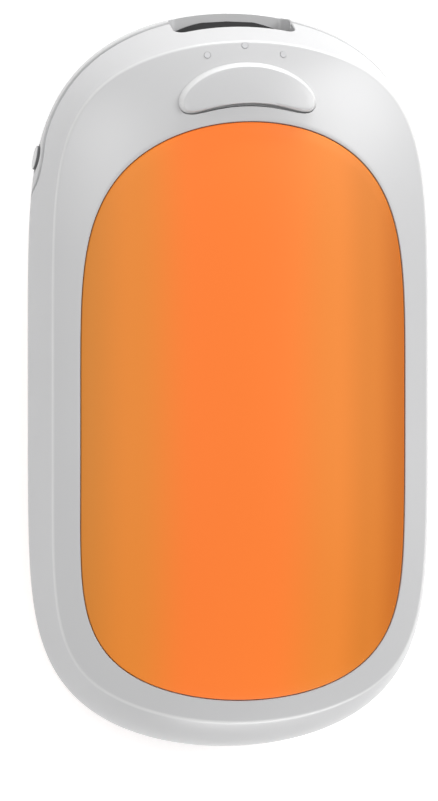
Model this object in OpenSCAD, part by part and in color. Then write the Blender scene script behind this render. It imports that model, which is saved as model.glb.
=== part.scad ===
// Rechargeable hand warmer: two curved shells round a pair of cylindrical cells, with a heated plate
// in each face, a crescent heat button, three charge lights, a side key and two sockets.
// X is the width, +Y the socket end and +Z the front. It lies on its rear plate, at z = 0.

/* [Body] */
// Width at the widest line
body_w = 60; // [58:0.5:74]
// Length over the two round ends
body_l = 106.5; // [105:0.5:130]
// Height of the long side edges above the middle plane
edge_h = 6.75; // [6:0.25:8]
// How far the side edges lie inside the widest line
edge_side = 1.9; // [1.2:0.1:2.6]
// How far the end edges lie inside the widest line
edge_end = 3.85; // [3:0.05:4.8]
// Roundness of the side edges
edge_r = 0.5; // [0.3:0.1:1]
// Thickness of the side walls
wall_t = 2; // [1.6:0.1:2.6]
// Depth of the flat that the warmer rests on
rest_cut = 0.35; // [0.2:0.05:0.5]

/* [Heat plates] */
// Width of each heat plate
plate_w = 48.4; // [44:0.2:56]
// Distance from the top end of the body to the plate
plate_top = 15.2; // [14.8:0.1:20]
// Distance from the bottom end of the body to the plate
plate_bottom = 7.25; // [6.5:0.25:14]
// Thickness of each heat plate
plate_t = 1.2; // [0.8:0.1:1.6]
// Gap round each heat plate
plate_gap = 0.15; // [0.1:0.05:0.3]
// Width of the ledge that carries a heat plate
ledge_w = 1.6; // [1:0.1:2.4]
// Thickness of that ledge
ledge_t = 1.2; // [0.8:0.1:1.6]
// Thickness of the film heater under each plate
film_t = 0.25; // [0.15:0.05:0.5]

/* [Heat button] */
// Width of the crescent button
button_w = 20.6; // [16:0.2:24]
// Height of the crescent at its middle
button_h = 5.9; // [4.5:0.1:6.4]
// Distance from the top end of the body to the middle of the crescent
button_top = 9.8; // [9.6:0.1:10.4]
// How far the button stands proud
button_rise = 1; // [0.6:0.1:1.4]
// Gap round the button
button_gap = 0.15; // [0.1:0.05:0.3]
// Travel of the button
button_travel = 0.3; // [0.2:0.05:0.35]

/* [Charge lights] */
// Diameter of a light
light_d = 0.9; // [0.8:0.1:1.2]
// Distance between the two outer lights
light_span = 11.4; // [10.4:0.2:12]

/* [Side key] */
// Diameter of the side key
key_d = 4.2; // [3.4:0.1:4.4]
// Distance from the top end of the body to the side key
key_top = 20.75; // [20:0.25:24]
// Travel of the side key
key_travel = 0.4; // [0.2:0.1:0.5]

/* [Sockets] */
// Width of the mouth at the top end
bay_w = 18.2; // [17:0.2:20]
// Height of that mouth
bay_h = 5.9; // [5.8:0.1:6.2]
// Height of its middle in front of the middle plane
bay_z = 1.55; // [1.3:0.05:1.6]
// Depth of the liner behind the mouth's rim
bay_depth = 1.1; // [0.6:0.1:1.4]

/* [Cells] */
// Diameter of a cell
cell_d = 18.2; // [15:0.1:22]
// Length of a cell
cell_l = 65; // [50:0.5:65]

/* [Hidden] */

$fn = 48;
// Points round a shell, a film and the button, and along a board's edge
shell_n = 76;
film_n = 40;
button_n = 48;
board_n = 24;
// A cut runs this far past the face it opens
past = 1;
// Two seated pieces lie this far apart
seat = 0.05;

// Outline of the body, fuller at the bottom end. Each power is a length over the reach of its round end,
// so that the ends keep their form when a length changes.
half_w = body_w / 2;
half_l = body_l / 2;
top_power = half_l / 10.65;
bottom_power = half_l / 9.18;

// Crown of the two faces, over the cells
cell_clear = 2.45;
film_gap = 0.2;
crown_h = cell_d / 2 + film_t + plate_t + cell_clear;
bow_top = half_l + 4.15;
bow_top_power = bow_top / 13.38;
bow_bottom = half_l + 1.15;
bow_bottom_power = bow_bottom / 16;
crown_r = pow(half_w - edge_side, 2) / (2 * (crown_h - edge_h));
mid_z = crown_h - rest_cut;
flank_power = 1.15;
flank_top_power = 1.05;
flank_top_rear_power = 2.4;
flank_bottom_power = 1.8;
edge_power = 3;

// Parting line: in front of the middle plane at the top, arched over the side key, behind it below
part_top = 0.9;
part_low = -1.1;
part_arch = 0.75;
part_arch_w = 3;
part_arch_down = 0.7;
part_drop = 5;
part_drop_l = 4;
groove = 0.16;
groove_depth = 0.7;
lip_h = 1.1;
lip_gap = 0.1;
part_gap = 0.04;

// Heat plates, their seats and outlines
plate_seat = plate_t + seat;
face_t = plate_seat + ledge_t;
plate_y1 = half_l - plate_top;
plate_y0 = -half_l + plate_bottom;
plate_top_power = (plate_y1 - plate_y0) / 18.47;
plate_bottom_power = (plate_y1 - plate_y0) / 13.13;
plate_edge = 0.15;

// Cells, screw bosses and the cradle
board_gap_y = 19.7;
cell_top = half_l - board_gap_y - 1.75;
cell_x = cell_d / 2 + 0.35;
cell_fit = 0.15;
cradle_t = 1.5;
cradle_fit = 0.15;
spine_w = 6.8;
boss_d = 5.4;
boss_root = 1.7;
boss_x = max(cell_x + cell_d / 2 + 0.35, plate_w / 2 - ledge_w - boss_d + boss_root) + boss_d / 2;
boss_top_y = half_l - 32.25;
boss_low_y = cell_top - cell_l + 3.2;
screw_d = 2;
screw_head_d = 3.6;
screw_head_h = 1.3;
screw_fit = 0.02;

// Boards: the main board behind the sockets, the button board in front of them
usb_w = 13.2;
usb_h = 5.7;
usb_l = 13.9;
usb_y1 = half_l - 3.85;
usb_t = 0.3;
board_t = 1;
board_z1 = bay_z - usb_h / 2 - seat;
board_z0 = board_z1 - board_t;
board_y0 = half_l - board_gap_y + 0.75;
board_wing = 6.7;
board_clear = 0.9;
board_end = 0.2;
button_board_t = 0.6;
button_board_z0 = bay_z + usb_h / 2 + seat;
button_board_z1 = button_board_z0 + button_board_t;
button_board_y0 = half_l - 17;
post_x = button_w / 2 + 2.7;
button_board_w = 2 * (post_x + 2.5);
post_y = half_l - 14.65;
post_d = 4;
post_screw_d = 1.7;
post_screw_l = 3.6;
post_head_d = 3.2;
post_head_h = 0.9;

// Heat button, its flange and its switch
button_y = half_l - button_top;
button_under = 0.29;
button_lobe = 2.5;
button_relief = 0.2;
flange_w = 0.9;
flange_t = 0.6;
flange_gap = 0.2;
bevel_w = 0.8;
stem_z = spine(button_y) - face_t - flange_gap - flange_t;
switch_w = 4;
switch_y = half_l - 12.05;
switch_h = spine(switch_y + switch_w / 2) - face_t - flange_gap - flange_t - button_travel - 0.15
    - button_board_z1;
plunger_d = 2.2;
plunger_fit = 0.1;

// Charge lights, set square to the shell, with their LEDs below them on the button board
light_y = half_l - 5.8;
light_mid_y = half_l - 4.45;
light_tilt = 20;
light_proud = 0.05;
lights = [[-light_span / 2, light_y], [0, light_mid_y], [light_span / 2, light_y]];
led_w = 1;
led_l = 0.5;
led_h = 0.4;
led_clear = 0.5;
led_z1 = button_board_z1 + seat + led_h;

// Side key and its switch, in the frame of the left edge
key_z = -1.7;
key_y = half_l - key_top;
key_gap = 0.15;
key_rise = 0.2;
key_flange_w = 0.65;
key_flange_t = 0.8;
key_dome_r = 8;
key_tip = key_rise - flank_inset(0, key_z);
key_in = flank_inset(0, key_z) + wall_t + 0.1;
key_back = key_in + key_flange_t;
side_switch_in = key_back + 1;
side_switch_t = 2.7;
side_switch_w = 6;
side_switch_h = 3.4;
side_switch_out = side_switch_in + side_switch_t;
side_plunger_d = 2;

// Socket at the top end: mouth, liner and tongue
bay_r = 1.6;
liner_fit = 0.1;
liner_side = 0.95;
liner_wall = 0.4;
liner_bow = 19;
tongue_w = 11.1;
tongue_t = 1.84;
tongue_back = 2;
tongue_tip = 1.4;

// Charge socket, in the frame of the right edge
charge_w = 8.94;
charge_h = 3.26;
charge_l = 7.4;
charge_in = 1.2;
charge_t = 0.3;
charge_z = board_z1 + charge_h / 2 + seat;
charge_fit = 0.13;
charge_flare = 0.3;
charge_tongue_w = 6.7;
charge_tongue_t = 0.7;

// Share of the full half width or height at the share s of the half length
function round_share(s, power) = sqrt(max(0, 1 - pow(abs(s), power)));

// Point at angle a on an outline with round ends, half width hw, from y0 to y1
function outline(a, hw, y0, y1, low_power, high_power) =
    let (s = sin(a), c = cos(a), power = s < 0 ? low_power : high_power)
    [sign(round(c * 1e6)) * hw * round_share(s, power), (y0 + y1) / 2 + s * (y1 - y0) / 2];

// Outward direction of that outline at angle a
function outline_out(a, hw, y0, y1, low_power, high_power) =
    let (
        s = sin(a),
        power = s < 0 ? low_power : high_power,
        x = outline(a, hw, y0, y1, low_power, high_power)[0],
        slope = [2 * x / (hw * hw), sign(s) * power * pow(abs(s), power - 1) * 2 / (y1 - y0)]
    )
    slope / norm(slope);

function body_at(a) = outline(a, half_w, -half_l, half_l, bottom_power, top_power);
function body_out(a) = outline_out(a, half_w, -half_l, half_l, bottom_power, top_power);
function plate_at(a) = outline(a, plate_w / 2, plate_y0, plate_y1, plate_bottom_power, plate_top_power);
function plate_out(a) =
    outline_out(a, plate_w / 2, plate_y0, plate_y1, plate_bottom_power, plate_top_power);
function plate_inside(a, inset) = plate_at(a) - inset * plate_out(a);

// Height of the crown above the middle plane, on the long axis and anywhere
function spine(y) = crown_h * round_share(
    y / (y < 0 ? bow_bottom : bow_top), y < 0 ? bow_bottom_power : bow_top_power);
function crown(p) = spine(p[1]) - p[0] * p[0] / (2 * crown_r);

// Inset of the edge, and the edge itself, at angle a
function edge_inset(a) = edge_side + (edge_end - edge_side) * pow(abs(body_out(a)[1]), edge_power);
function edge_at(a) = body_at(a) - edge_inset(a) * body_out(a);
// Inset of the flank at the height z in front of the middle plane. It is rounder at the bottom end, and
// fuller behind the mouth at the top end.
function flank_shape(a, z) =
    let (
        n = body_out(a)[1],
        end_power = n < 0 ? flank_bottom_power : z < 0 ? flank_top_rear_power : flank_top_power
    )
    flank_power + (end_power - flank_power) * pow(abs(n), edge_power);
function flank_inset(a, z) = edge_inset(a) * pow(min(1, abs(z) / crown(edge_at(a))), flank_shape(a, z));
function flank_at(a, z, inset) = body_at(a) - (flank_inset(a, z) + inset) * body_out(a);

// Height of the parting line at the length y
function step(t) = let (u = max(0, min(1, t))) u * u * (3 - 2 * u);
function part_z(y) =
    part_low + (part_top - part_low) * step((y - key_y + part_drop + part_drop_l / 2) / part_drop_l)
    + part_arch * exp(-pow((y - key_y + part_arch_down) / part_arch_w, 2));

// Point on the face between the edge (t = 0) and the opening for the plate (t = 1)
function face_at(a, t) = (1 - t) * edge_at(a) + t * plate_inside(a, -plate_gap);

// A point of the plan, at the height h on the front (side 1) or the rear (side -1)
function at(p, h, side) = [p[0], p[1], mid_z + side * h];
function lerp(a, b, t) = a + (b - a) * t;

// One ring of n points made by a function of the angle
function ring_angles(n) = [for (i = [0:n - 1]) 360 * i / n];

// Triangles between two rings of n points
function band(r0, r1, n) = [
    for (i = [0:n - 1])
        let (j = (i + 1) % n)
        each [[r0 * n + i, r0 * n + j, r1 * n + j], [r0 * n + i, r1 * n + j, r1 * n + i]]
];
function turned(faces, flip) = flip ? [for (f = faces) [f[2], f[1], f[0]]] : faces;

// A closed loop of rings, such as a wall that runs round an opening
module ring_loop(rings, flip) {
    n = len(rings[0]);
    count = len(rings);
    polyhedron(
        points = [for (ring = rings) each ring],
        faces = turned([for (r = [0:count - 1]) each band(r, (r + 1) % count, n)], flip)
    );
}

// A stack of rings between two end points
module ring_stack(first, rings, last, flip) {
    n = len(rings[0]);
    count = len(rings);
    tip = n * count;
    polyhedron(
        points = concat([for (ring = rings) each ring], [first, last]),
        faces = turned(concat(
            [for (i = [0:n - 1]) [tip, (i + 1) % n, i]],
            [for (r = [0:count - 2]) each band(r, r + 1, n)],
            [for (i = [0:n - 1]) [tip + 1, (count - 1) * n + i, (count - 1) * n + (i + 1) % n]]
        ), flip)
    );
}

// Cylinder along the x axis from x0 to x1
module rod_x(d, x0, x1) {
    translate([x0, 0, 0]) rotate([0, 90, 0]) cylinder(d = d, h = x1 - x0);
}

// Bar with corners of the radius r, w wide in x and h high in z, from y0 to y1
module bar_y(w, h, r, y0, y1) {
    for (x = [r - w / 2, w / 2 - r], z = [r - h / 2, h / 2 - r])
        translate([x, y0, z]) rotate([-90, 0, 0]) cylinder(r = r, h = y1 - y0);
    translate([r - w / 2, y0, -h / 2]) cube([w - 2 * r, y1 - y0, h]);
    translate([-w / 2, y0, r - h / 2]) cube([w, y1 - y0, h - 2 * r]);
}

// Bar with round ends along x, w wide in y and h high in z
module slot_x(w, h, x0, x1) {
    for (y = [-(w - h) / 2, (w - h) / 2]) translate([0, y, 0]) rod_x(h, x0, x1);
    translate([x0, -(w - h) / 2, -h / 2]) cube([x1 - x0, w - h, h]);
}

// Half round thread of points swept into a lead of six sides
module lead(points, r) {
    count = len(points);
    sides = 6;
    rings = [
        for (i = [0:count - 1])
            let (
                before = points[max(0, i - 1)],
                after = points[min(count - 1, i + 1)],
                along = (after - before) / norm(after - before),
                flat = cross(along, [1, 0, 0]),
                up = flat / norm(flat)
            )
            [for (k = [0:sides - 1]) points[i] + r * (cos(60 * k) * [1, 0, 0] + sin(60 * k) * up)]
    ];
    ring_stack(points[0], rings, points[count - 1], true);
}

// Places its children in the frame of an edge: x outwards, z towards the front
module edge_frame(side, y, h) {
    a = asin(y / half_l);
    out = body_out(a);
    place = body_at(a);
    translate([side * place[0], y, mid_z + h])
        rotate([0, 0, side > 0 ? atan2(out[1], out[0]) : 180 - atan2(out[1], out[0])])
            children();
}

// Wall of one shell: parting line, flank, edge, face, plate seat and ledge, then back inside
module shell_wall(side) {
    rear = side < 0;
    angles = ring_angles(shell_n);
    inner_inset = wall_t * 0.75;
    function part_h(a) = side * part_z(body_at(a)[1]) + part_gap / 2;
    function tucked(a, inset, h) = at(flank_at(a, side * part_h(a), inset), h, side);
    function flank(a, t) = let (h = lerp(part_h(a) + groove, crown(edge_at(a)), t))
        at(flank_at(a, side * h, 0), h, side);
    function face(a, t) = let (p = face_at(a, t)) at(p, crown(p), side);
    function under(a, t) = let (p = face_at(a, t)) at(p, crown(p) - face_t, side);
    function seat_at(a, inset, drop) = let (p = plate_inside(a, inset)) at(p, crown(p) - drop, side);
    function edge_low(a) = let (h = crown(edge_at(a)) - edge_r) at(flank_at(a, side * h, 0), h, side);
    function edge_high(a) =
        let (p = edge_at(a) - edge_r * body_out(a)) at(p, crown(p), side);
    function edge_mid(a) = let (p = edge_at(a)) (2 * at(p, crown(p), side) + edge_low(a) + edge_high(a)) / 4;
    function corner(a) =
        let (p = edge_at(a) - inner_inset * body_out(a)) at(p, crown(p) - face_t, side);
    lip_in = wall_t / 2;
    lip = [
        rear ? [for (a = angles) tucked(a, wall_t, part_h(a) - lip_h)]
            : [for (a = angles) tucked(a, wall_t, part_h(a) + lip_h + lip_gap)],
        rear ? [for (a = angles) tucked(a, lip_in, part_h(a) - lip_h)]
            : [for (a = angles) tucked(a, lip_in - lip_gap, part_h(a) + lip_h + lip_gap)],
        rear ? [for (a = angles) tucked(a, lip_in, part_h(a))]
            : [for (a = angles) tucked(a, lip_in - lip_gap, part_h(a))]
    ];
    rings = concat(
        [
            [for (a = angles) tucked(a, groove_depth, part_h(a))],
            [for (a = angles) tucked(a, groove_depth, part_h(a) + groove)],
            [for (a = angles) flank(a, 0)],
            [for (a = angles) let (h = max(0, part_h(a) + 3 * groove)) at(flank_at(a, side * h, 0), h, side)],
            [for (a = angles) flank(a, 0.28)],
            [for (a = angles) flank(a, 0.55)],
            [for (a = angles) edge_low(a)],
            [for (a = angles) edge_mid(a)],
            [for (a = angles) edge_high(a)]
        ],
        [for (t = [0.2, 0.4, 0.65]) [for (a = angles) face(a, t)]],
        [
            [for (a = angles) seat_at(a, -plate_gap - plate_edge, 0)],
            [for (a = angles) seat_at(a, -plate_gap, plate_edge)],
            [for (a = angles) seat_at(a, -plate_gap, plate_seat)],
            [for (a = angles) seat_at(a, ledge_w, plate_seat)],
            [for (a = angles) seat_at(a, ledge_w, face_t)]
        ],
        [for (t = [0.75, 0.5, 0.25]) [for (a = angles) under(a, t)]],
        [[for (a = angles) corner(a)]],
        lip
    );
    ring_loop(rings, !rear);
}

// Crowned plate or film whose outline lies inset from a plate's, between two depths under the crown,
// with a flat rim that runs parallel to its seat
module crowned_sheet(side, n, inset, z_top, z_low, edge, rim, shares) {
    angles = ring_angles(n);
    middle = [0, (plate_y0 + plate_y1) / 2];
    function sheet(a, share, in, drop) =
        let (p = middle + share * (plate_inside(a, inset + in) - middle)) at(p, crown(p) - drop, side);
    ring_stack(
        at(middle, crown(middle) - z_top, side),
        concat(
            [for (share = shares) [for (a = angles) sheet(a, share, 0, z_top)]],
            [
                [for (a = angles) sheet(a, 1, rim, z_top)],
                [for (a = angles) sheet(a, 1, edge, z_top)],
                [for (a = angles) sheet(a, 1, 0, z_top + edge)],
                [for (a = angles) sheet(a, 1, 0, z_low)],
                [for (a = angles) sheet(a, 1, rim, z_low)]
            ],
            [for (i = [len(shares) - 1:-1:0]) [for (a = angles) sheet(a, shares[i], 0, z_low)]]
        ),
        at(middle, crown(middle) - z_low, side),
        side < 0
    );
}

// Outline of the crescent at angle t, over and under the line through its two tips, grown by g
button_tip_y = button_y - button_h / 2 + button_under;
function crescent_at(t) =
    let (u = abs(cos(t)))
    [
        button_w / 2 * cos(t),
        button_tip_y + (sin(t) > 0 ? (button_h - button_under) * pow(sin(t), 1.2)
            : -(button_under + button_lobe * u * u) * sqrt(max(0, 1 - pow(u, 6.2))))
    ];
function crescent(t, g) =
    let (d = crescent_at(t + 1) - crescent_at(t - 1)) crescent_at(t) + g * [d[1], -d[0]] / norm(d);
function crescent_part(t, share) = let (m = [0, button_y]) m + share * (crescent_at(t) - m);
// The flange narrows to nothing along the top of the crescent, where the shell turns down
function flange_grow(t) = flange_w * (1 - 0.9 * max(0, sin(t)));

// The cap that a finger presses, its skirt through the shell and its flange inside
module button_body() {
    angles = ring_angles(button_n);
    skirt = face_t + flange_gap;
    function on_crown(p, h) = at(p, crown(p) + h, 1);
    ring_stack(
        on_crown([0, button_y], button_rise + 0.1),
        [
            [for (t = angles) on_crown(crescent_part(t, 0.4), button_rise + 0.05)],
            [for (t = angles) on_crown(crescent(t, -bevel_w), button_rise)],
            [for (t = angles) on_crown(crescent(t, -bevel_w / 2), button_rise * 0.8)],
            [for (t = angles) on_crown(crescent(t, 0), button_rise * 0.3)],
            [for (t = angles) on_crown(crescent(t, 0), -skirt)],
            [for (t = angles) on_crown(crescent(t, flange_grow(t)), -skirt)],
            [for (t = angles) on_crown(crescent(t, flange_grow(t)), -skirt - flange_t)],
            [for (t = angles) on_crown(crescent_part(t, 0.4), -skirt - flange_t)]
        ],
        at([0, button_y], stem_z, 1),
        false
    );
}

// Hole for the crescent button, through the front shell
module button_hole() {
    translate([0, 0, mid_z + edge_h / 2])
        linear_extrude(height = crown_h)
            polygon([for (t = ring_angles(button_n)) crescent(t, button_gap + button_relief * max(0, -sin(t)))]);
}

// Places its children at a charge light, with z out of the shell
module light_frame(p) {
    translate(at(p, crown(p), 1)) rotate([-light_tilt, 0, 0]) children();
}

// Places a child at each screw boss
module each_boss() {
    for (x = [-boss_x, boss_x]) {
        translate([x, boss_top_y, mid_z]) children();
        translate([x, boss_low_y, mid_z]) children();
    }
}
boss_top_z = crown([boss_x + boss_d / 2, boss_low_y]) - plate_seat - 0.3;
screw_z1 = 4.2;

// Mouth of the top socket
module bay_cut() {
    translate([0, 0, mid_z + bay_z]) bar_y(bay_w, bay_h, bay_r, usb_y1 - 2.2, half_l + past);
}

// Hole for the charge socket, wider at the outside
module charge_cut() {
    edge_frame(1, key_y, charge_z) {
        slot_x(charge_w + 2 * charge_fit, charge_h + 2 * charge_fit, -charge_in - wall_t - past, past);
        slot_x(charge_w + 4 * charge_flare, charge_h + 4 * charge_flare, -charge_in + 0.2, past);
    }
}

module front_shell() {
    color("gainsboro")
    difference() {
        union() {
            shell_wall(1);
            each_boss() translate([0, 0, part_top]) cylinder(d = boss_d, h = boss_top_z - part_top);
            for (x = [-post_x, post_x])
                translate([x, post_y, mid_z + button_board_z1 + seat])
                    cylinder(d = post_d, h = crown([post_x, post_y]) - face_t + 0.8 - button_board_z1);
        }
        button_hole();
        for (p = lights)
            light_frame(p) translate([0, 0, -4]) cylinder(d = light_d + 2 * screw_fit, h = 4 + past);
        each_boss() cylinder(d = screw_d + 2 * screw_fit, h = screw_z1 + 0.6);
        for (x = [-post_x, post_x])
            translate([x, post_y, mid_z]) cylinder(d = post_screw_d + 2 * screw_fit, h = 8.6);
        bay_cut();
        charge_cut();
    }
}

module rear_shell() {
    color("gainsboro")
    difference() {
        union() {
            shell_wall(-1);
            each_boss() translate([0, 0, -boss_top_z]) cylinder(d = boss_d, h = boss_top_z + part_low);
            for (x = [-post_x, post_x])
                translate([x, post_y, mid_z - crown([post_x, post_y]) + face_t - 0.8])
                    cylinder(d = post_d, h = crown([post_x, post_y]) - face_t + 0.8 + board_z0 - seat);
        }
        each_boss() {
            translate([0, 0, -boss_top_z - past]) cylinder(d = screw_d + 0.4, h = boss_top_z + 2 * past);
            translate([0, 0, -boss_top_z - past])
                cylinder(d = screw_head_d + 0.4, h = screw_head_h + 2 * seat + past);
        }
        for (x = [-post_x, post_x])
            translate([x, post_y, mid_z - 8.6]) cylinder(d = post_screw_d + 2 * screw_fit, h = 8.6);
        bay_cut();
        edge_frame(-1, key_y, key_z) {
            rod_x(key_d + 2 * key_gap, -key_in, past);
            rod_x(key_d + 2 * key_flange_w + 0.4, -key_back - 2, -key_in + 0.1);
        }
        charge_cut();
    }
}

module front_heat_plate() {
    color("darkorange") crowned_sheet(1, shell_n, 0, 0, plate_t, plate_edge, ledge_w, [0.3, 0.55, 0.78]);
}

module rear_heat_plate() {
    color("darkorange")
    intersection() {
        crowned_sheet(-1, shell_n, 0, 0, plate_t, plate_edge, ledge_w, [0.3, 0.55, 0.78]);
        translate([-body_w, -body_l, 0]) cube([2 * body_w, 2 * body_l, 2 * crown_h]);
    }
}

film_inset = plate_w / 2 - (boss_x - boss_d / 2 - 1.9);
module heater_film(side) {
    color("peru")
    crowned_sheet(side, film_n, film_inset, plate_seat + film_gap, plate_seat + film_gap + film_t, 0.01,
        ledge_w, [0.3, 0.55, 0.75]);
}

module front_heater_film() heater_film(1);
module rear_heater_film() heater_film(-1);

// Two leads from the end of each film to the edge of the main board
lead_r = 0.4;
lead_x = 3;
lead_y = (half_l - board_gap_y - 0.2 + usb_y1 - usb_l) / 2 + 0.05;
film_end_y = plate_y1 - film_inset - 2;
film_z = spine(film_end_y) - plate_seat - film_gap - film_t - lead_r;
module heater_leads() {
    color("firebrick")
    for (x = [-lead_x, lead_x]) {
        lead([
            [x, film_end_y, mid_z + film_z - 0.15], [x, lead_y - 1.6, mid_z + film_z - 0.6],
            [x, lead_y - 0.4, mid_z + film_z - 1.6], [x, lead_y, mid_z + film_z - 3],
            [x, lead_y, mid_z + board_z1 + seat]
        ], lead_r);
        lead([
            [x, film_end_y, mid_z - film_z + 0.15], [x, lead_y - 1.6, mid_z - film_z + 0.6],
            [x, lead_y - 0.4, mid_z - film_z + 1.6], [x, lead_y, mid_z - film_z + 3],
            [x, lead_y, mid_z + board_z0 - seat]
        ], lead_r);
    }
}

// Bead against the front film, in the valley between the cells, with its lead to the main board
bead_d = 2;
bead_y = -4;
bead_z = spine(bead_y) - plate_seat - film_gap - film_t - seat - bead_d / 2;
module thermistor() {
    color("black") {
        translate([0, bead_y, mid_z + bead_z]) sphere(d = bead_d);
        lead([
            [0, bead_y, mid_z + bead_z], [0, film_end_y - 6, mid_z + bead_z],
            [0, lead_y - 1.6, mid_z + bead_z - 0.8], [0, lead_y - 0.4, mid_z + bead_z - 1.8],
            [0, lead_y, mid_z + bead_z - 3.2], [0, lead_y, mid_z + board_z1 + seat]
        ], lead_r);
    }
}

// One cell: sleeved can, shoulder groove and raised contact, with its axis along y
module cell(x) {
    r = cell_d / 2;
    translate([x, cell_top - cell_l, mid_z]) rotate([-90, 0, 0])
        rotate_extrude()
            polygon([
                [0, 0], [r - 0.4, 0], [r, 0.4], [r, cell_l - 4.4], [r - 0.5, cell_l - 4],
                [r - 0.5, cell_l - 3.4], [r, cell_l - 3], [r, cell_l - 0.9], [r - 0.5, cell_l - 0.5],
                [r * 0.4, cell_l - 0.5], [r * 0.35, cell_l], [0, cell_l]
            ]);
}
module cell_left() color("steelblue") cell(-cell_x);
module cell_right() color("steelblue") cell(cell_x);

// Nickel strips: the link at the bottom and a tab from each cell to the main board
tab_t = 0.2;
tab_w = 4;
weld = 0.02;
cradle_y1 = cell_top + tab_t + 2 * seat;
cradle_y0 = cell_top - cell_l - tab_t - 2 * seat;
module cell_tabs() {
    color("silver") {
        translate([-cell_x - 3, cell_top - cell_l - tab_t - weld, mid_z - 3]) cube([2 * cell_x + 6, tab_t, 6]);
        for (x = [-cell_x, cell_x]) {
            translate([x - tab_w / 2, cell_top + weld, mid_z + board_z1 + seat]) cube([tab_w, tab_t, 5]);
            translate([x - tab_w / 2, cell_top + weld, mid_z + board_z1 + seat])
                cube([tab_w, usb_y1 - usb_l - 0.3 - cell_top, tab_t]);
        }
    }
}

// End walls that stand between the ledges of the two shells, joined by a spine between the cells
module battery_cradle() {
    arm_x = boss_x + 0.5;
    arm_h = crown([arm_x, cradle_y0 - cradle_t]) - face_t - cradle_fit;
    wall_x = cell_x + cell_d / 2 + 0.4;
    wall_h = crown([wall_x, cradle_y1 + cradle_t]) - face_t - cradle_fit;
    color("dimgray")
    difference() {
        union() {
            translate([-arm_x, cradle_y0 - cradle_t, mid_z - arm_h]) cube([2 * arm_x, cradle_t, 2 * arm_h]);
            translate([-wall_x, cradle_y1, mid_z - wall_h]) cube([2 * wall_x, cradle_t, 2 * wall_h]);
            difference() {
                translate([-spine_w / 2, cradle_y0 - 0.1, mid_z - 6])
                    cube([spine_w, cradle_y1 - cradle_y0 + 0.2, 12]);
                for (x = [-cell_x, cell_x])
                    translate([x, cradle_y0 - past, mid_z]) rotate([-90, 0, 0])
                        cylinder(r = cell_d / 2 + cell_fit, h = cradle_y1 - cradle_y0 + 2 * past);
            }
        }
        translate([-cell_x - 3.2, cradle_y0 - 0.01, mid_z - 3.2]) cube([2 * cell_x + 6.4, tab_t + 0.1, 6.4]);
        for (x = [-cell_x, cell_x])
            translate([x - tab_w / 2 - 0.2, cradle_y1 - past, mid_z + board_z1 - 0.2])
                cube([tab_w + 0.4, cradle_t + 2 * past, 0.8]);
    }
}

// Outline of a board that keeps clear of the inside of the shell at the height h
function board_inset(a) = wall_t + board_clear + board_end * pow(abs(body_out(a)[1]), edge_power);
function board_edge(h, a0) =
    [for (i = [0:board_n]) let (a = lerp(a0, 180 - a0, i / board_n)) flank_at(a, h, board_inset(a))];

module main_board() {
    wing_x = cell_x + cell_d / 2 + 0.5;
    wing_y = board_y0 - board_wing;
    color("darkgreen")
    difference() {
        translate([0, 0, mid_z + board_z0])
            linear_extrude(height = board_t)
                polygon(concat(
                    [[-wing_x, board_y0], [-wing_x, wing_y]],
                    [for (i = [board_n:-1:0]) board_edge(abs(board_z0), asin(wing_y / half_l))[i]],
                    [[wing_x, wing_y], [wing_x, board_y0]]
                ));
        for (x = [-post_x, post_x])
            translate([x, post_y, mid_z + board_z0 - past])
                cylinder(d = post_screw_d + 0.3, h = board_t + 2 * past);
        edge_frame(-1, key_y, board_z0 - past)
            translate([-side_switch_out - 0.1, -side_switch_w / 2 - 0.1, 0])
                cube([body_w, side_switch_w + 0.2, board_t + 2 * past]);
    }
}

module button_board() {
    color("darkgreen")
    difference() {
        translate([0, 0, mid_z + button_board_z0])
            linear_extrude(height = button_board_t)
                intersection() {
                    polygon(board_edge(button_board_z1, asin((button_board_y0 - 3) / half_l)));
                    translate([-button_board_w / 2, button_board_y0]) square([button_board_w, half_l]);
                }
        for (x = [-post_x, post_x])
            translate([x, post_y, mid_z + button_board_z0 - past])
                cylinder(d = post_screw_d + 0.3, h = button_board_t + 2 * past);
    }
}

// Pin header between the two boards
link_x = 9.6;
link_y = half_l - 10.2;
module board_link() {
    color("dimgray")
    translate([link_x - 1, link_y - 2.5, mid_z + board_z1 + seat])
        cube([2, 5, button_board_z0 - board_z1 - 2 * seat]);
}

module control_chip() {
    color("black")
    translate([-11 - 2, link_y - 2, mid_z + board_z1 + seat]) cube([4, 4, 0.9]);
}

// Wound choke on the back of the main board, with a round top
module power_inductor() {
    color("darkslategray")
    translate([0, half_l - 12.5, mid_z + board_z0 - seat]) mirror([0, 0, 1]) {
        translate([-3, -3, 0]) cube([6, 6, 1.2]);
        cylinder(d = 5.6, h = 3);
    }
}

module board_capacitors() {
    color("tan")
    for (x = [-9.5, -6.5, 6.5, 9.5])
        translate([x - 0.8, half_l - 12.2, mid_z + board_z0 - seat - 1.2]) cube([1.6, 3.2, 1.2]);
}

// Sheet metal shell of the output socket, open at its mouth
module usb_out_shell() {
    color("silver")
    translate([0, usb_y1 - usb_l, mid_z + bay_z])
        difference() {
            translate([-usb_w / 2, 0, -usb_h / 2]) cube([usb_w, usb_l, usb_h]);
            translate([-usb_w / 2 + usb_t, tongue_back, -usb_h / 2 + usb_t])
                cube([usb_w - 2 * usb_t, usb_l, usb_h - 2 * usb_t]);
        }
}

// Contact tongue, standing on the back wall of the shell
module usb_out_tongue() {
    color("black")
    translate([-tongue_w / 2, usb_y1 - usb_l + tongue_back, mid_z + bay_z + 0.3])
        cube([tongue_w, usb_l - tongue_back - tongue_tip, tongue_t]);
}

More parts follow.
